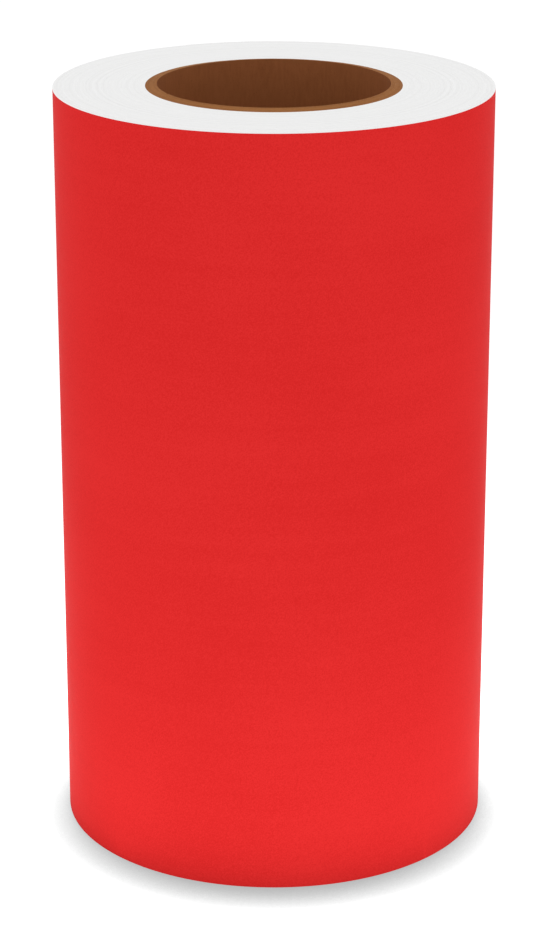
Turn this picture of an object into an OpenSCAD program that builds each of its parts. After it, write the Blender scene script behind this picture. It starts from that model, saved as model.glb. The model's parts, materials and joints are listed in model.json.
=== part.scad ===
// Roll of sign vinyl: adhesive-backed film on a paper release liner, wound film side out
// on a spiral-wound paper core. The roll stands on one end. The origin is at the centre of
// that end and +Z runs up the core. Sizes are in millimetres.

/* [Web] */
// Width of the web, which is the height of the standing roll
web_w = 254; // [100:1:610]
// Number of turns of web on the core
turns = 125; // [40:1:200]
// Outermost turns that are built layer by layer
open_turns = 2; // [2:1:4]
// Thickness of the paper release liner
liner_t = 0.14; // [0.08:0.005:0.2]
// Thickness of the adhesive coat on the film's back
adhesive_t = 0.025; // [0.02:0.005:0.05]
// Thickness of the vinyl film
film_t = 0.075; // [0.05:0.005:0.15]

/* [Core] */
// Bore of the core
bore_d = 76.2; // [50:0.1:160]
// Thickness of the smooth ply that lines the bore
inner_ply_t = 0.41; // [0.2:0.01:0.8]
// Thickness of each body ply
body_ply_t = 0.6; // [0.3:0.01:1]
// Number of body plies
body_plies = 5; // [1:1:9]
// Thickness of the ply that the web is wound on
outer_ply_t = 0.4; // [0.2:0.01:0.8]
// How far the knife-cut bevel runs back over the core's wall, at each end
core_bevel = 0.6; // [0.2:0.05:1.5]
// Thickness of the tape that holds the start of the web on the core
starter_t = 0.1; // [0.05:0.01:0.12]
// Length of that tape along the web
starter_len = 19; // [8:1:40]

/* [Tail] */
// Direction of the tail's edge, counter-clockwise from +X
tail_azimuth = 115; // [0:1:360]
// Length of web that lifts off the roll at the tail
tail_len = 63; // [45:1:90]
// Length of film at the tail that peels off its liner
film_tip_len = 30; // [25:1:40]

/* [Closure tape] */
// Thickness of the closure tape
tape_t = 0.13; // [0.05:0.01:0.2]
// Width of the closure tape, along Z
tape_w = 25.4; // [12:0.1:50]
// Length of tape that is stuck on the tail
tape_on_tail = 22; // [10:1:24]
// Length of tape that is stuck on the roll beyond the tail's edge
tape_on_roll = 24; // [10:1:40]
// Length in which the tape comes down from the tail onto the roll
tape_ramp = 1.5; // [0.5:0.1:4]

/* [Clearance] */
// Radial gap under a layer that lifts off
lift_gap = 0.05; // [0.02:0.01:0.1]
// Gap between the cut ends of layers at a fold line
end_gap = 0.05; // [0.02:0.01:0.1]

/* [Hidden] */
$fn = 128;

// The adhesive stays on the film when it is peeled, so the two are one layer
coated_film_t = adhesive_t + film_t;
web_t = liner_t + coated_film_t;
bore_r = bore_d / 2;
core_wall = inner_ply_t + body_plies * body_ply_t + outer_ply_t;
core_r = bore_r + core_wall;
core_len = web_w + core_bevel;

// Distance from a turn's inner face to each layer's
liner_lift = 0;
film_lift = liner_t;

// A turn is two half circles. The second one's axis is shifted by half the web's thickness,
// so that its end meets the start of the next turn.
axis_shift = web_t / 2;
last_turn = turns - 1;
first_open_turn = turns - open_turns;

// Inner radius of turn k, counted from 0 at the core
function turn_r(k) = core_r + k * web_t;

// Angle of an arc of the given length and radius
function arc_deg(len, r) = len / r * 180 / PI;

// Point at a radius and a direction
function at(r, deg) = [r * cos(deg), r * sin(deg)];

// Inner radius of the last half turn, about the shifted axis
last_r = turn_r(last_turn) + axis_shift;
edge_deg = 360;
tail_root_deg = edge_deg - arc_deg(tail_len, last_r);
tip_root_deg = edge_deg - arc_deg(film_tip_len, last_r);
tape_root_deg = edge_deg - arc_deg(tape_on_tail, last_r);
gap_deg = arc_deg(end_gap, last_r);

tail_r = last_r + lift_gap;
tip_r = tail_r + lift_gap;
tape_over_tail_r = tip_r + web_t + lift_gap;
tape_over_roll_r = turn_r(turns) + lift_gap;
tape_ramp_deg = arc_deg(tape_ramp, last_r);
tape_end_deg = arc_deg(tape_on_roll, last_r);
tape_z = (web_w - tape_w) / 2;

// How far the ramp of the tape runs into its two flat stretches
tape_lap = 0.2;

// How far a cutter runs past the face it cuts
cut_past = 1;

module web_frame() {
    rotate([0, 0, tail_azimuth]) children();
}

module second_axis() {
    translate([axis_shift, 0, 0]) children();
}

// Part of a tube wall about the local Z axis, between two directions
module sector(r, t, from, to, h = web_w) {
    rotate([0, 0, from])
        rotate_extrude(angle = to - from)
            translate([r, 0])
                square([t, h]);
}

// One layer of turns first to last, ending at the direction end in the last half turn
module wound_layer(first, last, lift, t, end = edge_deg) {
    for (k = [first:last]) {
        sector(turn_r(k) + lift, t, 0, 180);
        second_axis()
            sector(turn_r(k) + axis_shift + lift, t, 180, k == last ? end : edge_deg);
    }
}

// A ply of the core between two radii, with both ends on the knife's bevel
module core_ply(r, t) {
    slope = core_bevel / core_wall;
    rise_in = (r - bore_r) * slope;
    rise_out = (r + t - bore_r) * slope;
    rotate_extrude()
        polygon([
            [r, rise_in],
            [r + t, rise_out],
            [r + t, core_len - rise_out],
            [r, core_len - rise_in]
        ]);
}

module core_inner_ply() {
    color("#5f3820") core_ply(bore_r, inner_ply_t);
}

module core_body_ply(i) {
    color("#a2703f") core_ply(bore_r + inner_ply_t + (i - 1) * body_ply_t, body_ply_t);
}

module core_outer_ply() {
    color("#96632f") core_ply(core_r - outer_ply_t, outer_ply_t);
}

// The tape on the core, or the room for it in the first turn when it is cut deep
module starter_strip(deeper = 0) {
    web_frame()
        sector(core_r - deeper, starter_t + deeper, 0, arc_deg(starter_len, core_r));
}

module starter_tape() {
    color("#e8e2cf") starter_strip();
}

// The turns below the open ones, pressed into one pack
module inner_turns() {
    pack_r = turn_r(first_open_turn);
    color("#ededed")
        difference() {
            web_frame() {
                sector(0, pack_r, 0, 180);
                second_axis()
                    sector(0, pack_r + axis_shift, 180, 360);
            }
            translate([0, 0, -cut_past])
                cylinder(r = core_r, h = web_w + 2 * cut_past);
            starter_strip(cut_past);
        }
}

module outer_liner() {
    color("#f1f0ec")
        web_frame()
            wound_layer(first_open_turn, last_turn, liner_lift, liner_t, tail_root_deg);
}

module outer_film() {
    color("#e0292b")
        web_frame()
            wound_layer(first_open_turn, last_turn, film_lift, coated_film_t, tail_root_deg);
}

// A layer of the tail about the shifted axis
module tail_layer(r, t, from, to) {
    web_frame()
        second_axis()
            sector(r, t, from + gap_deg, to);
}

module tail_liner() {
    color("#f1f0ec") tail_layer(tail_r + liner_lift, liner_t, tail_root_deg, edge_deg);
}

module tail_film() {
    color("#e0292b") tail_layer(tail_r + film_lift, coated_film_t, tail_root_deg, tip_root_deg);
}

module film_tip() {
    color("#e0292b") tail_layer(tip_r + film_lift, coated_film_t, tip_root_deg, edge_deg);
}

// One strip: on the tail, down a short ramp past the tail's cut edge, and on the roll.
// The ramp's ends and edges are set into the tape, so that no faces fall in one plane.
module closure_tape() {
    inset = tape_t / 5;
    ramp_from_deg = -arc_deg(tape_lap, last_r);
    ramp_to_deg = tape_ramp_deg + arc_deg(tape_lap, last_r);
    over_tail_r = tape_over_tail_r + axis_shift;
    ramp = [
        at(over_tail_r + inset, ramp_from_deg),
        at(over_tail_r + tape_t - inset, ramp_from_deg),
        at(tape_over_roll_r + tape_t - inset, ramp_to_deg),
        at(tape_over_roll_r + inset, ramp_to_deg)
    ];
    color("#e6d9b4")
        web_frame()
            translate([0, 0, tape_z]) {
                second_axis()
                    sector(tape_over_tail_r, tape_t, tape_root_deg, edge_deg, tape_w);
                translate([0, 0, inset])
                    linear_extrude(tape_w - 2 * inset)
                        polygon(ramp);
                sector(tape_over_roll_r, tape_t, tape_ramp_deg, tape_end_deg, tape_w);
            }
}

core_inner_ply();
for (i = [1:body_plies])
    core_body_ply(i);
core_outer_ply();
starter_tape();
inner_turns();
outer_liner();
outer_film();
tail_liner();
tail_film();
film_tip();
closure_tape();
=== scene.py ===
import bpy
import json
import math
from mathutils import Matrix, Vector, noise


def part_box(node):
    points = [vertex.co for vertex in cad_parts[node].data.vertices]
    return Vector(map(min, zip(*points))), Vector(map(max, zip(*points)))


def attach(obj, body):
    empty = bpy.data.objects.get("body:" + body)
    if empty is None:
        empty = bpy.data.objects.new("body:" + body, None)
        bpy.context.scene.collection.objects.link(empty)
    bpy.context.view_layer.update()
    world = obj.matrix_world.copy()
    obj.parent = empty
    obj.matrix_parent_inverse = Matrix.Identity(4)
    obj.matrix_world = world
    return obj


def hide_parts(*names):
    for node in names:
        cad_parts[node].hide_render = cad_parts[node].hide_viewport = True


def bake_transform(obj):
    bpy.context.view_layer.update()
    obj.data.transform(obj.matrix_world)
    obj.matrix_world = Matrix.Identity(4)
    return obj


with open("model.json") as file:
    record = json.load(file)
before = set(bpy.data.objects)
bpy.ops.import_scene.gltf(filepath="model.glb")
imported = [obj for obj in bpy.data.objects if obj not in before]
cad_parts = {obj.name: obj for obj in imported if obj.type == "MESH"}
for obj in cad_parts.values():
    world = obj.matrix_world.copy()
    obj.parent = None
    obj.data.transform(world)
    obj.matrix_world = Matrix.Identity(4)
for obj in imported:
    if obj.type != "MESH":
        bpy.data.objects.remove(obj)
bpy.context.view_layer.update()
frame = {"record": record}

mm = 0.001
mergeDistance = 0.0005 * mm  # corners that are nearer than this become one
cutDistance = 0.0001 * mm  # a corner that is nearer to a cut than this counts as on it
roundingSlack = 0.001  # room for rounding where a number of steps or degrees should come out whole
boreMount = next(m for m in frame["record"]["mounts"] if m["name"] == "core_bore")

# The web as it is wound. A place along the winding is counted in degrees from its start on the core,
# 360 to a turn, and directions in degrees counter-clockwise from +X.
web = {
    "turns": 125,
    "openTurns": 2,
    "liner": 0.14 * mm,
    "adhesive": 0.025 * mm,
    "film": 0.075 * mm,
    "tailDirection": 115,
    "tailLength": 63 * mm,
    "filmTipLength": 30 * mm,
    "liftGap": 0.05 * mm,
    "stepDegrees": 2.25,
}
coatedFilm = web["adhesive"] + web["film"]
webThickness = web["liner"] + coatedFilm
boreRadius = boreMount["dims"]["r_mm"] * mm
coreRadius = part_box("core_outer_ply")[1].x
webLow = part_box("inner_turns")[0].z
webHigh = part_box("inner_turns")[1].z
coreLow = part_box("core_inner_ply")[0].z
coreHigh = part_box("core_inner_ply")[1].z
tailTurn = math.radians(web["tailDirection"])

# Each turn is two half circles. The second one's axis is half a thickness out, so that its end meets the
# start of the next turn.
firstAxis = Vector((0, 0, 0))
secondAxis = Vector((math.cos(tailTurn), math.sin(tailTurn), 0)) * webThickness / 2


def turnRadius(turn):
    return coreRadius + turn * webThickness


def degreesOf(length, radius):
    return math.degrees(length / radius)


lastRadius = turnRadius(web["turns"] - 1) + webThickness / 2
packEnd = 360 * (web["turns"] - web["openTurns"])
webEnd = 360 * web["turns"]
tailStart = webEnd - degreesOf(web["tailLength"], lastRadius)
tipStart = webEnd - degreesOf(web["filmTipLength"], lastRadius)


# A place on the winding: its centre, its radius there and its direction in the world
def placeOn(degrees, lift=0.0):
    half = int(degrees // 180)
    second = half % 2 == 1
    radius = turnRadius(half // 2) + (webThickness / 2 if second else 0) + lift
    return secondAxis if second else firstAxis, radius, tailTurn + math.radians(degrees % 360)


def pointAt(centre, radius, angle, z=0.0):
    return centre + Vector((math.cos(angle) * radius, math.sin(angle) * radius, z))


def outwardAt(point):
    return Vector((point.x, point.y, 0)).normalized()


# Degrees from the tail's edge to a point, counter-clockwise, 0 to 360
def degreesPastTail(point):
    return (math.degrees(math.atan2(point.y, point.x)) - web["tailDirection"]) % 360


# From 0 to 1 with a soft start and a soft end
def eased(share):
    share = min(1.0, max(0.0, share))
    return share * share * (3 - 2 * share)


def objectMode():
    bpy.ops.object.mode_set(mode="OBJECT")


def clearSelection():
    bpy.ops.object.select_all(action="DESELECT")


def editAll():
    bpy.ops.object.mode_set(mode="EDIT")
    bpy.ops.mesh.select_all(action="SELECT")


# Edit mode with only those corners ("VERT") or faces ("FACE") selected that pass the test
def editOnly(piece, kind, passes):
    bpy.ops.object.mode_set(mode="EDIT")
    bpy.ops.mesh.select_mode(type=kind)
    bpy.ops.mesh.select_all(action="DESELECT")
    objectMode()
    for part in piece.data.vertices if kind == "VERT" else piece.data.polygons:
        part.select = passes(part)
    bpy.ops.object.mode_set(mode="EDIT")


def bakePlace(piece, name):
    piece.name = name
    piece.data.name = name
    bpy.ops.object.transform_apply(location=True, rotation=True, scale=True)
    return piece


# A flat upright rectangle that faces back along the winding, to be spun into a strip
def addSection(name, centre, radius, thickness, angle, low, high, rows=1):
    clearSelection()
    middle = pointAt(centre, radius + thickness / 2, angle, (low + high) / 2)
    bpy.ops.mesh.primitive_grid_add(
        x_subdivisions=1, y_subdivisions=rows, size=1, location=middle, rotation=(math.pi / 2, 0, angle)
    )
    piece = bpy.context.object
    piece.scale = (thickness, high - low, 1)
    return bakePlace(piece, name)


# Turns what is selected about an upright axis, counter-clockwise from above, in steps of one size
def spinBy(degrees, centre, stepDegrees):
    steps = max(1, math.ceil(degrees / stepDegrees - roundingSlack))
    bpy.ops.mesh.spin(steps=steps, angle=math.radians(degrees), center=centre, axis=(0, 0, -1))


def finishShell(piece, smoothDegrees=35):
    editAll()
    bpy.ops.mesh.remove_doubles(threshold=mergeDistance)
    bpy.ops.mesh.normals_make_consistent(inside=False)
    objectMode()
    bpy.ops.object.shade_smooth_by_angle(angle=math.radians(smoothDegrees))
    return piece


# A strip of one layer of the web, from one place on the winding to another
def windStrip(name, start, end, lift, thickness, rows=1, stepDegrees=web["stepDegrees"]):
    centre, radius, angle = placeOn(start, lift)
    piece = addSection(name, centre, radius, thickness, angle, webLow, webHigh, rows)
    editAll()
    here = start
    while here < end:
        nextHere = min(end, 180 * (here // 180 + 1))
        spinBy(nextHere - here, placeOn(here)[0], stepDegrees)
        here = nextHere
    objectMode()
    return finishShell(piece)


# Shader maths: a socket that adds Math nodes as it is worked with
class Val:
    def __init__(self, mat, socket):
        self.mat = mat
        self.socket = socket

    def maths(self, operation, first, second):
        return self.mat.node("ShaderNodeMath", {"operation": operation}, [first, second])

    def __add__(self, other):
        return self.maths("ADD", self, other)

    def __radd__(self, other):
        return self.maths("ADD", other, self)

    def __sub__(self, other):
        return self.maths("SUBTRACT", self, other)

    def __rsub__(self, other):
        return self.maths("SUBTRACT", other, self)

    def __mul__(self, other):
        return self.maths("MULTIPLY", self, other)

    def __rmul__(self, other):
        return self.maths("MULTIPLY", other, self)

    def __truediv__(self, other):
        return self.maths("DIVIDE", self, other)

    def __rtruediv__(self, other):
        return self.maths("DIVIDE", other, self)

    def __pow__(self, other):
        return self.maths("POWER", self, other)

    def __rpow__(self, other):
        return self.maths("POWER", other, self)


def colour(r, g, b):
    return (r, g, b, 1.0)


class Material:
    def __init__(self, name):
        self.material = bpy.data.materials.new(name)
        self.material.use_nodes = True
        self.tree = self.material.node_tree
        self.shader = self.tree.nodes["Principled BSDF"]
        self.place = self.node("ShaderNodeTexCoord", {}, [], "Object")

    # Any node: its type, its settings, then the values or links of its inputs by place or by name
    def node(self, kind, settings, inputs, output=0):
        made = self.tree.nodes.new(kind)
        for setting, value in settings.items():
            setattr(made, setting, value)
        pairs = inputs.items() if isinstance(inputs, dict) else enumerate(inputs)
        for key, value in pairs:
            self.feed(made.inputs[key], value)
        return Val(self, made.outputs[output])

    def feed(self, socket, value):
        if isinstance(value, Val):
            self.tree.links.new(value.socket, socket)
        else:
            socket.default_value = value

    # The shader's own inputs, by name, with _ for a space
    def set(self, **values):
        for name, value in values.items():
            self.feed(self.shader.inputs[name.replace("_", " ")], value)

    def along(self, axis):
        return self.node("ShaderNodeSeparateXYZ", {}, [self.place], axis)

    def distance(self):
        x, y = self.along("X"), self.along("Y")
        return (x * x + y * y) ** 0.5

    def stretched(self, scale):
        return self.node("ShaderNodeMapping", {}, {"Vector": self.place, "Scale": scale})

    def noise(self, scale, detail=4.0, roughness=0.5, at=None):
        inputs = {"Vector": at or self.place, "Scale": scale, "Detail": detail, "Roughness": roughness}
        return self.node("ShaderNodeTexNoise", {}, inputs, "Fac")

    def bands(self, value, scale, detail):
        inputs = {"W": value, "Scale": scale, "Detail": detail}
        return self.node("ShaderNodeTexNoise", {"noise_dimensions": "1D"}, inputs, "Fac")

    # 0 at low and below it, 1 at high and above it, and even in between
    def limited(self, value, low, high):
        inputs = {"Value": value, "From Min": low, "From Max": high}
        return self.node("ShaderNodeMapRange", {"clamp": True}, inputs)

    # 0, 6 and 7 are a colour Mix node's factor and its two colours, and 2 is its colour output
    def blendColours(self, factor, first, second):
        inputs = {0: factor, 6: first, 7: second}
        return self.node("ShaderNodeMix", {"data_type": "RGBA"}, inputs, 2)

    def shades(self, factor, dark, light):
        return self.blendColours(factor, colour(*dark), colour(*light))

    def bump(self, height, distance):
        return self.node("ShaderNodeBump", {}, {"Height": height, "Distance": distance}, "Normal")


# How many turns out from the core a point is, counted along the winding
def turnsOut(mat):
    angle = mat.node("ShaderNodeMath", {"operation": "ARCTAN2"}, [mat.along("Y"), mat.along("X")])
    return (mat.distance() - coreRadius) / webThickness - (angle - tailTurn) / (2 * math.pi)


# In the looks, a scale is how many times a pattern changes in a metre
filmLook = {
    "red": (0.668, 0.0245, 0.0240),
    "deepRed": (0.596, 0.0170, 0.0165),
    "toneRange": (0.41, 0.59),
    "cloudScale": 14,
    "grainScale": 2300,
    "streakScale": 260,
    "pebbleScale": 1500,
    "waveScale": 90,
    "sheenScale": 220,
    "roughness": 0.48,
    "gloss": 0.005,
    "relief": 0.012 * mm,
}


# Calendered film: a fine pebble, faint streaks that run around the roll, and slow changes of tone
def makeFilm():
    mat = Material("vinyl film")
    cloud = mat.noise(filmLook["cloudScale"], 3)
    grain = mat.noise(filmLook["grainScale"], 2, 0.6)
    streak = mat.noise(filmLook["streakScale"], 3, 0.6, mat.stretched((0.04, 0.04, 1)))
    sheen = mat.noise(filmLook["sheenScale"], 3)
    tone = mat.limited(cloud * 0.25 + grain * 0.65 + streak * 0.1, *filmLook["toneRange"])
    pebble = mat.noise(filmLook["pebbleScale"], 2) + mat.noise(filmLook["waveScale"], 2) * 0.6
    mat.set(
        Base_Color=mat.shades(tone, filmLook["deepRed"], filmLook["red"]),
        Roughness=filmLook["roughness"] + (sheen - 0.5) * 0.1 + (streak - 0.5) * 0.08,
        Specular_IOR_Level=filmLook["gloss"],
        Normal=mat.bump(pebble + streak * 0.5, filmLook["relief"]),
    )
    return mat.material


endLook = {
    "white": (0.888, 0.888, 0.886),
    "shade": (0.832, 0.831, 0.827),
    "toneRange": (0.37, 0.57),
    "bandsPerTurn": 0.22,
    "edgesPerTurn": 2.1,
    "grainScale": 2300,
    "dragScale": 700,
    "roughness": 0.62,
    "gloss": 0.1,
    "relief": 0.01 * mm,
}


# Cut edges of many turns: each turn's own tone, slow bands, and the knife's fine drag
def makeWebEnd():
    mat = Material("web end")
    turns = turnsOut(mat)
    band = mat.bands(turns, endLook["bandsPerTurn"], 3.0)
    edge = mat.bands(turns, endLook["edgesPerTurn"], 2.0)
    grain = mat.noise(endLook["grainScale"], 2, 0.6)
    tone = mat.limited(band * 0.45 + edge * 0.3 + grain * 0.25, *endLook["toneRange"])
    mat.set(
        Base_Color=mat.shades(tone, endLook["shade"], endLook["white"]),
        Roughness=endLook["roughness"],
        Specular_IOR_Level=endLook["gloss"],
        Normal=mat.bump(edge + mat.noise(endLook["dragScale"], 3) * 0.4, endLook["relief"]),
    )
    return mat.material


linerLook = {
    "light": (0.86, 0.855, 0.84),
    "dark": (0.78, 0.77, 0.74),
    "toneRange": (0.3, 0.7),
    "fibreScale": 420,
    "sheenScale": 90,
    "roughness": 0.46,
    "gloss": 0.4,
    "relief": 0.01 * mm,
}


# Coated paper with its fibres showing faintly
def makeLiner():
    mat = Material("release liner")
    fibre = mat.noise(linerLook["fibreScale"], 5, 0.65)
    tone = mat.limited(fibre, *linerLook["toneRange"])
    mat.set(
        Base_Color=mat.shades(tone, linerLook["dark"], linerLook["light"]),
        Roughness=linerLook["roughness"] + (mat.noise(linerLook["sheenScale"], 3) - 0.5) * 0.12,
        Specular_IOR_Level=linerLook["gloss"],
        Normal=mat.bump(fibre, linerLook["relief"]),
    )
    return mat.material


adhesiveLook = {
    "light": (0.76, 0.76, 0.74),
    "dark": (0.66, 0.65, 0.62),
    "hazeScale": 300,
    "pebbleScale": 900,
    "roughness": 0.3,
    "relief": 0.006 * mm,
}


# The adhesive coat on the film's back
def makeAdhesive():
    mat = Material("adhesive")
    haze = mat.noise(adhesiveLook["hazeScale"], 4)
    mat.set(
        Base_Color=mat.shades(haze, adhesiveLook["dark"], adhesiveLook["light"]),
        Roughness=adhesiveLook["roughness"] + haze * 0.1,
        Normal=mat.bump(mat.noise(adhesiveLook["pebbleScale"], 3), adhesiveLook["relief"]),
    )
    return mat.material


boardLook = {
    "light": (0.335, 0.135, 0.040),
    "dark": (0.250, 0.092, 0.024),
    "boreLight": (0.318, 0.108, 0.036),
    "boreDark": (0.245, 0.080, 0.025),
    "fleckTone": 0.5,  # of the dark tone
    "fleckStrength": 0.35,
    "toneRange": (0.30, 0.66),
    "fleckRange": (0.60, 0.72),
    "fibreScale": 900,
    "fleckScale": 2600,
    "cloudScale": 60,
    "plyThickness": 0.6 * mm,
    "roughness": 0.8,
    "boreRoughness": 0.6,
    "gloss": 0.1,
    "relief": 0.03 * mm,
}


# Brown board: fibres, dark flecks, and plies that differ a little in tone
def makeBoard(name, light, dark, roughness):
    mat = Material(name)
    ply = (mat.distance() - boreRadius) / boardLook["plyThickness"]
    ply = mat.node("ShaderNodeMath", {"operation": "FLOOR"}, [ply])
    plyTone = mat.node("ShaderNodeTexWhiteNoise", {"noise_dimensions": "1D"}, {"W": ply}, "Value")
    fibre = mat.noise(boardLook["fibreScale"], 6, 0.7, mat.stretched((1, 1, 0.25)))
    cloud = mat.noise(boardLook["cloudScale"], 3)
    fleck = mat.limited(mat.noise(boardLook["fleckScale"], 2), *boardLook["fleckRange"])
    tone = mat.limited(fibre * 0.6 + cloud * 0.25 + plyTone * 0.15, *boardLook["toneRange"])
    fleckColour = colour(*[c * boardLook["fleckTone"] for c in dark])
    ground = mat.shades(tone, dark, light)
    mat.set(
        Base_Color=mat.blendColours(fleck * boardLook["fleckStrength"], ground, fleckColour),
        Roughness=roughness,
        Specular_IOR_Level=boardLook["gloss"],
        Normal=mat.bump(fibre + fleck * 0.3, boardLook["relief"]),
    )
    return mat.material


tapeLook = {
    "light": (0.80, 0.70, 0.46),
    "dark": (0.70, 0.59, 0.36),
    "toneRange": (0.3, 0.7),
    "crepeScale": 1400,
    "roughness": 0.68,
    "gloss": 0.25,
    "relief": 0.03 * mm,
}


# Creped paper tape: fine wrinkles across the strip
def makePaperTape():
    mat = Material("paper tape")
    crepe = mat.noise(tapeLook["crepeScale"], 3, 0.6, mat.stretched((1, 1, 0.18)))
    tone = mat.limited(crepe, *tapeLook["toneRange"])
    mat.set(
        Base_Color=mat.shades(tone, tapeLook["dark"], tapeLook["light"]),
        Roughness=tapeLook["roughness"],
        Specular_IOR_Level=tapeLook["gloss"],
        Normal=mat.bump(crepe, tapeLook["relief"]),
    )
    return mat.material


film = makeFilm()
webEndWhite = makeWebEnd()
liner = makeLiner()
adhesive = makeAdhesive()
board = makeBoard("core board", boardLook["light"], boardLook["dark"], boardLook["roughness"])
borePaper = makeBoard(
    "bore paper", boardLook["boreLight"], boardLook["boreDark"], boardLook["boreRoughness"]
)
paperTape = makePaperTape()
print("materials made")


# Gives the piece its finish. Others may go on the faces that point in, and on its top and bottom ends.
def dress(piece, outside, inside=None, ends=None):
    for material in (outside, inside or outside, ends or outside):
        piece.data.materials.append(material)
    squarely = 0.7  # cosine of the widest angle at which a face still counts as facing one way
    for face in piece.data.polygons:
        facesIn = face.normal.dot(outwardAt(face.center)) < -squarely
        face.material_index = 2 if abs(face.normal.z) > squarely else 1 if facesIn else 0
    return piece


def place(piece, body, node):
    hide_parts(node)
    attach(piece, body)


# The core: a bore ply with its spiral butt joint, body plies and the ply that the web is wound on
core = {
    "innerPly": 0.41 * mm,
    "bodyPly": 0.6 * mm,
    "bodyPlies": 5,
    "bevel": 0.6 * mm,
    "seamPitch": 112 * mm,
    "seamWidth": 0.3 * mm,
    "seamStart": 1.3,  # in pitches below the lower end
    "edgeRound": 0.07 * mm,
    "roundSegments": 2,
    "sharpDegrees": 50,
    "rough": 0.05 * mm,
    "roughScale": 700,
    "steps": 192,
}
coreWall = coreRadius - boreRadius


def roundEdges(piece):
    bevel = piece.modifiers.new("round", "BEVEL")
    bevel.width = core["edgeRound"]
    bevel.segments = core["roundSegments"]
    bevel.limit_method = "ANGLE"
    bevel.angle_limit = math.radians(core["sharpDegrees"])
    bpy.ops.object.modifier_apply(modifier=bevel.name)


# Both ends follow the knife's bevel, so a ply is longest on its bore side, with a slightly torn edge
def cutEnds(piece, inner, outer):
    for v in piece.data.vertices:
        edge = outer if math.hypot(v.co.x, v.co.y) > (inner + outer) / 2 else inner
        drop = core["bevel"] * (edge - boreRadius) / coreWall
        drop += core["rough"] * abs(noise.noise(v.co * core["roughScale"]))
        v.co.z = coreHigh - drop if v.co.z > (coreLow + coreHigh) / 2 else coreLow + drop


def makePly(name, inner, outer):
    piece = addSection(name, firstAxis, inner, outer - inner, 0, coreLow, coreHigh)
    editAll()
    bpy.ops.mesh.delete(type="ONLY_FACE")
    bpy.ops.mesh.select_all(action="SELECT")
    spinBy(360, firstAxis, 360 / core["steps"])
    objectMode()
    cutEnds(piece, inner, outer)
    finishShell(piece)
    roundEdges(piece)
    return finishShell(piece)


# The bore ply is a strip wound on a slant, with a butt joint, cut off at both ends and bevelled
def makeBorePly(name, inner, outer):
    clearSelection()
    rise = core["seamPitch"] - core["seamWidth"]
    start = coreLow - core["seamPitch"] * core["seamStart"]
    width = 1 * mm  # of a plane that keeps only its side at the bore
    bpy.ops.mesh.primitive_plane_add(
        size=1, location=(inner + width / 2, 0, start + rise / 2), rotation=(math.pi / 2, 0, 0)
    )
    piece = bpy.context.object
    piece.scale = (width, rise, 1)
    bakePlace(piece, name)
    editOnly(piece, "VERT", lambda v: v.co.x > inner + width / 2)
    bpy.ops.mesh.delete(type="VERT")
    objectMode()
    windings = math.ceil((coreHigh - start) / core["seamPitch"]) + 1
    screw = piece.modifiers.new("wind", "SCREW")
    screw.angle = math.radians(360 * windings)
    screw.screw_offset = core["seamPitch"] * windings
    screw.steps = screw.render_steps = core["steps"] * windings
    bpy.ops.object.modifier_apply(modifier=screw.name)
    outward = piece.data.polygons[0].normal.dot(piece.data.polygons[0].center) > 0
    thicken = piece.modifiers.new("thicken", "SOLIDIFY")
    thicken.thickness = outer - inner
    thicken.offset = 1 if outward else -1
    bpy.ops.object.modifier_apply(modifier=thicken.name)
    for height, side in ((coreLow, "inner"), (coreHigh, "outer")):
        editAll()
        bpy.ops.mesh.bisect(
            plane_co=(0, 0, height), plane_no=(0, 0, 1), use_fill=True, threshold=cutDistance,
            clear_inner=side == "inner", clear_outer=side == "outer",
        )
    objectMode()
    slope = core["bevel"] * (outer - inner) / coreWall
    for v in piece.data.vertices:
        if math.hypot(v.co.x, v.co.y) > (inner + outer) / 2:
            v.co.z = min(coreHigh - slope, max(coreLow + slope, v.co.z))
    return finishShell(piece)


def makeCore():
    radius = boreRadius + core["innerPly"]
    ply = makeBorePly("core_bore_ply", boreRadius, radius)
    place(dress(ply, board, borePaper, board), "roll", "core_inner_ply")
    for number in range(1, core["bodyPlies"] + 1):
        ply = makePly(f"core_ply_{number}", radius, radius + core["bodyPly"])
        place(dress(ply, board), "roll", f"core_body_ply_{number}")
        radius += core["bodyPly"]
    ply = makePly("core_outside_ply", radius, coreRadius)
    place(dress(ply, board), "roll", "core_outer_ply")


makeCore()
print("core made")


# The inner turns. Each turn's cut edge is a ring of its own, a little in from the web's edge.
pack = {
    "turns": web["turns"] - web["openTurns"],
    "edgeRound": 0.02 * mm,
    "wander": 0.07 * mm,
    "wanderPerTurn": 0.83,
    "slowWander": 0.05 * mm,
    "slowPerTurn": 0.11,
    "settledTurns": 6,
    "smoothDegrees": 20,
    "starterLength": 19 * mm,
    "starterThickness": 0.1 * mm,
}
starterDegrees = degreesOf(pack["starterLength"], coreRadius)
tailOut = Vector((math.cos(tailTurn), math.sin(tailTurn), 0))
tailSide = Vector((-math.sin(tailTurn), math.cos(tailTurn), 0))


# How far a turn's edge is in from the web's, at a place counted in turns from the core. The side is 1 at
# the top of the roll and 2 at the bottom, and each has its own line through the noise.
def edgeInset(turnsAlong, side):
    quick = abs(noise.noise(Vector((turnsAlong * pack["wanderPerTurn"], side * 7.1, 0))))
    slow = abs(noise.noise(Vector((turnsAlong * pack["slowPerTurn"], side * 3.7, 5))))
    settled = min(1.0, max(0.0, (pack["turns"] - turnsAlong) / pack["settledTurns"]))
    return (pack["wander"] * quick + pack["slowWander"] * slow) * settled


# The radii of the profile's corners. Two meet at each boundary between turns, one on either side of it.
def packProfile():
    radii = [coreRadius]
    for turn in range(1, pack["turns"]):
        radii += [turnRadius(turn) - pack["edgeRound"], turnRadius(turn) + pack["edgeRound"]]
    return radii + [turnRadius(pack["turns"])]


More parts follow.
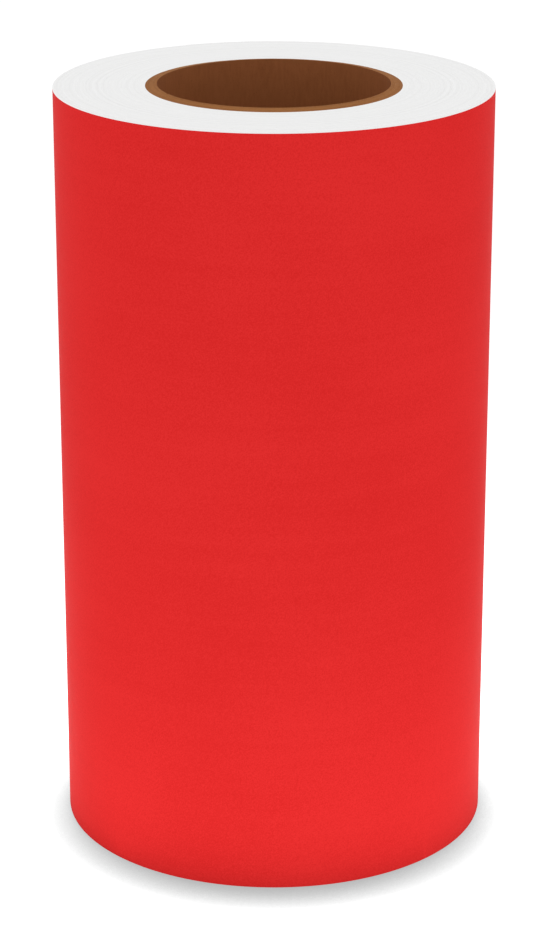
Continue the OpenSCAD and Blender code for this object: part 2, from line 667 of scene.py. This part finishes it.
# Where a corner of the pack is: how many turns on, and how many degrees past the tail's edge. Rounding can
# put a corner of the first section just short of a full turn.
def turnsAlongAt(point):
    degrees = degreesPastTail(point)
    if degrees > 360 - roundingSlack:
        degrees = 0.0
    second = degrees > 180 + roundingSlack
    centre = secondAxis if second else firstAxis
    depth = math.hypot(point.x - centre.x, point.y - centre.y) - coreRadius
    depth -= webThickness / 2 if second else 0
    boundary = round(depth / webThickness)
    outerCorner = depth < boundary * webThickness - pack["edgeRound"] / 2
    turn = boundary - 1 if outerCorner else boundary
    return max(0, turn) + degrees / 360, degrees


def makePack(name):
    radii = packProfile()
    clearSelection()
    bpy.ops.mesh.primitive_grid_add(
        x_subdivisions=len(radii) - 1, y_subdivisions=1, size=1, rotation=(math.pi / 2, 0, 0)
    )
    piece = bpy.context.object
    piece.scale = (1, webHigh - webLow, 1)
    piece.location = (0, 0, (webLow + webHigh) / 2)
    bakePlace(piece, name)
    for v in piece.data.vertices:
        radius = radii[round((v.co.x + 0.5) * (len(radii) - 1))]
        v.co = tailOut * radius + Vector((0, 0, v.co.z))
    editAll()
    spinBy(180, firstAxis, web["stepDegrees"])
    spinBy(180, secondAxis, web["stepDegrees"])
    dropInnerStart(piece)
    settlePack(piece)
    return finishShell(piece, pack["smoothDegrees"])


# Where one turn runs on into the next there is no wall, so the first section goes, all but its two ends
def dropInnerStart(piece):
    inner = turnRadius(2) - pack["edgeRound"]
    outer = turnRadius(pack["turns"] - 1) + pack["edgeRound"]
    nearly = 0.001 * mm

    def isInside(face):
        onStart = abs(face.normal.z) < 0.1 and abs(face.center.dot(tailSide)) < nearly
        return onStart and inner < face.center.dot(tailOut) < outer

    editOnly(piece, "FACE", isInside)
    bpy.ops.mesh.delete(type="FACE")
    objectMode()


# Sets each turn's edge in a little, and lays the innermost ring on the core, or on the tape that holds the
# web's start
def settlePack(piece):
    slack = 0.1 * pack["edgeRound"]
    for v in piece.data.vertices:
        flat = Vector((v.co.x, v.co.y, 0))
        turnsAlong, degrees = turnsAlongAt(flat)
        side = 1 if v.co.z > (webLow + webHigh) / 2 else 2
        if flat.length < coreRadius + webThickness * degrees / 360 + slack:
            overTape = degrees < starterDegrees + web["stepDegrees"]
            radius = coreRadius + (pack["starterThickness"] if overTape else 0)
            flat = flat.normalized() * radius
        inset = edgeInset(turnsAlong, side)
        v.co = flat + Vector((0, 0, webHigh - inset if side == 1 else webLow + inset))


starter = windStrip("starter_strip", 0, starterDegrees, 0, pack["starterThickness"])
place(dress(starter, paperTape), "roll", "starter_tape")
woundPack = makePack("wound_turns")
place(dress(woundPack, webEndWhite), "roll", "inner_turns")
print("wound turns made:", len(woundPack.data.polygons), "faces")


# The open turns: the liner and the film that is stuck on it, up to the line where the tail lifts off
openLiner = windStrip("open_turns_liner", packEnd, tailStart, 0, web["liner"])
place(dress(openLiner, liner, liner, webEndWhite), "roll", "outer_liner")
openFilm = windStrip("open_turns_film", packEnd, tailStart, web["liner"], coatedFilm)
place(dress(openFilm, film, adhesive, webEndWhite), "roll", "outer_film")
print("open turns made")


# The tail, and the film at its end that peels off the liner
tail = {
    "stepDegrees": 0.9,
    "rows": 6,
    "easeDegrees": 6,
    "bendLength": 12 * mm,
    "filmBendLength": 8 * mm,
}


# A sheet of the tail starts flush with the one it carries on from, and then stands off by the gap under it
def windSheet(name, start, end, lift, thickness):
    sheet = windStrip(name, start, end, lift, thickness, tail["rows"], tail["stepDegrees"])
    startDegrees = start - 360 * (web["turns"] - 1)
    for v in sheet.data.vertices:
        degrees = degreesPastTail(v.co)
        degrees += 360 if degrees < 90 else 0  # the sheet's end is just past the full turn
        v.co += outwardAt(v.co) * web["liftGap"] * eased((degrees - startDegrees) / tail["easeDegrees"])
    return sheet


def makeTail():
    tipLift = web["liftGap"] + web["liner"]
    tailLiner = windSheet("tail_liner_sheet", tailStart, webEnd, 0, web["liner"])
    tailFilm = windSheet("tail_film_sheet", tailStart, tipStart, web["liner"], coatedFilm)
    filmTip = windSheet("film_tip_sheet", tipStart, webEnd, tipLift, coatedFilm)
    dress(tailLiner, liner, liner, webEndWhite)
    dress(tailFilm, film, adhesive, webEndWhite)
    dress(filmTip, film, adhesive, webEndWhite)
    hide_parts("tail_liner")
    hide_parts("tail_film")
    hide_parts("film_tip")
    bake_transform(tailLiner)
    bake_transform(tailFilm)
    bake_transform(filmTip)


makeTail()
print("tail made")


# The closure tape: over the tail's end, down a short ramp and onto the roll, with torn saw-tooth ends
tape = {
    "thickness": 0.13 * mm,
    "width": 25.4 * mm,
    "onTail": 22 * mm,
    "onRoll": 24 * mm,
    "ramp": 1.5 * mm,
    "rows": 32,
    "stepDegrees": 0.4,
    "crepe": 0.015 * mm,
    "crepePerDegree": 3.1,
    "crepePerMetre": 160,
    "tooth": 0.45 * mm,
    "bendLength": 6 * mm,
}


def makeTape(name):
    tailRadius = lastRadius + 3 * web["liftGap"] + webThickness
    rollRadius = turnRadius(web["turns"]) + web["liftGap"]
    drop = tailRadius + webThickness / 2 - rollRadius
    onTail = degreesOf(tape["onTail"], lastRadius)
    ramp = degreesOf(tape["ramp"], lastRadius)
    onRoll = degreesOf(tape["onRoll"], lastRadius)
    low = (webLow + webHigh - tape["width"]) / 2
    start = tailTurn - math.radians(onTail)
    piece = addSection(
        name, secondAxis, tailRadius, tape["thickness"], start, low, low + tape["width"], tape["rows"]
    )
    editAll()
    spinBy(onTail, secondAxis, tape["stepDegrees"])
    spinBy(ramp, firstAxis, tape["stepDegrees"] / 2)
    spinBy(onRoll - ramp, firstAxis, tape["stepDegrees"])
    objectMode()
    pitch = tape["width"] / tape["rows"]
    for v in piece.data.vertices:
        outward = outwardAt(v.co)
        sideways = Vector((-outward.y, outward.x, 0))
        degrees = (degreesPastTail(v.co) + 180) % 360 - 180
        across = Vector((degrees * tape["crepePerDegree"], v.co.z * tape["crepePerMetre"], 0))
        v.co += outward * (noise.noise(across) * tape["crepe"] - drop * eased(degrees / ramp))
        if degrees < tape["stepDegrees"] / 2 - onTail or degrees > onRoll - roundingSlack:
            tooth = tape["tooth"] * (round((v.co.z - low) / pitch) % 2)
            v.co += sideways * (tooth if degrees < 0 else -tooth)
    finishShell(piece)
    dress(piece, paperTape)
    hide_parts("closure_tape")
    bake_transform(piece)


makeTape("closure_strip")
print("closure tape made")


# The studio: a pale floor that glows a little more around the roll as a painted pool of light, which also
# lights the roll's lower part, with a painted shadow at the roll's foot and painted shade down the bore;
# an even white sky; and the camera
studio = {
    "floorSize": 14,
    "floorGlow": 1.02,
    # painted light: the floor glows brighter in a pool around the roll, and this glow lights the roll's
    # lower part
    "poolGlow": 1.1,
    "poolRadius": 0.17,
    "shadeReach": 0.033,
    "shadeLean": (0, 0.45, 0.893),  # tilts the painted shadow so that it falls more to the front, as if the light came a little from behind the roll
    "shadeFrom": 0.38,  # how much of the light is left where the painted shadow is darkest
    "shadeSamples": 16,
    "shadeFall": 1.4,
    "shadeTone": 0.44,
    "paintedBoreShade": 0.03,  # painted shade: the floor seen down the bore is made dark
    "sky": 0.985,
    "camera": (0.00018, -0.951, 0.45435),
    "cameraPitch": 70.593,
    "lens": 112.3,
}


def makeFloor():
    clearSelection()
    bpy.ops.mesh.primitive_plane_add(size=studio["floorSize"], location=(0, 0, 0))
    floor = bpy.context.object
    floor.name = "floor"
    mat = Material("floor")
    distance = mat.distance()
    # Painted pool of light: the floor's glow is brighter near the roll and falls off with distance
    away = (distance - lastRadius) / studio["poolRadius"]
    paintedLightPool = mat.node("ShaderNodeMath", {"operation": "EXPONENT"}, [away * -1])
    # Painted shadow: the floor's glow is darkened where the roll hides part of the sky close by, leaning
    # to the front
    lean = mat.node("ShaderNodeCombineXYZ", {}, studio["shadeLean"])
    nearby = {"Distance": studio["shadeReach"], "Normal": lean}
    shade = mat.node("ShaderNodeAmbientOcclusion", {"samples": studio["shadeSamples"]}, nearby, "AO")
    shade = mat.limited(shade, studio["shadeFrom"], 1.0) ** studio["shadeFall"]
    glow = (paintedLightPool * studio["poolGlow"] + studio["floorGlow"] - studio["shadeTone"]) * shade
    # Painted shade down the bore: inside the roll the floor's glow gives way to a dark tone
    outside = mat.limited(distance, boreRadius, coreRadius)
    glow = (glow + studio["shadeTone"]) * outside + studio["paintedBoreShade"]
    mat.set(
        Base_Color=colour(0, 0, 0),
        Roughness=1.0,
        Specular_IOR_Level=0.0,
        Emission_Color=glow,
        Emission_Strength=1.0,
    )
    floor.data.materials.append(mat.material)


def makeSky():
    world = bpy.data.worlds.new("studio")
    world.use_nodes = True
    background = world.node_tree.nodes["Background"]
    background.inputs["Color"].default_value = colour(1, 1, 1)
    background.inputs["Strength"].default_value = studio["sky"]
    bpy.context.scene.world = world
    bpy.context.scene.view_settings.view_transform = "Standard"


def makeCamera():
    viewer = bpy.data.objects.new("camera", bpy.data.cameras.new("camera"))
    viewer.data.lens = studio["lens"]
    viewer.location = studio["camera"]
    viewer.rotation_euler = (math.radians(studio["cameraPitch"]), 0, 0)
    bpy.context.scene.collection.objects.link(viewer)
    bpy.context.scene.camera = viewer


makeFloor()
makeSky()
makeCamera()
print("studio made")

bpy.context.view_layer.update()
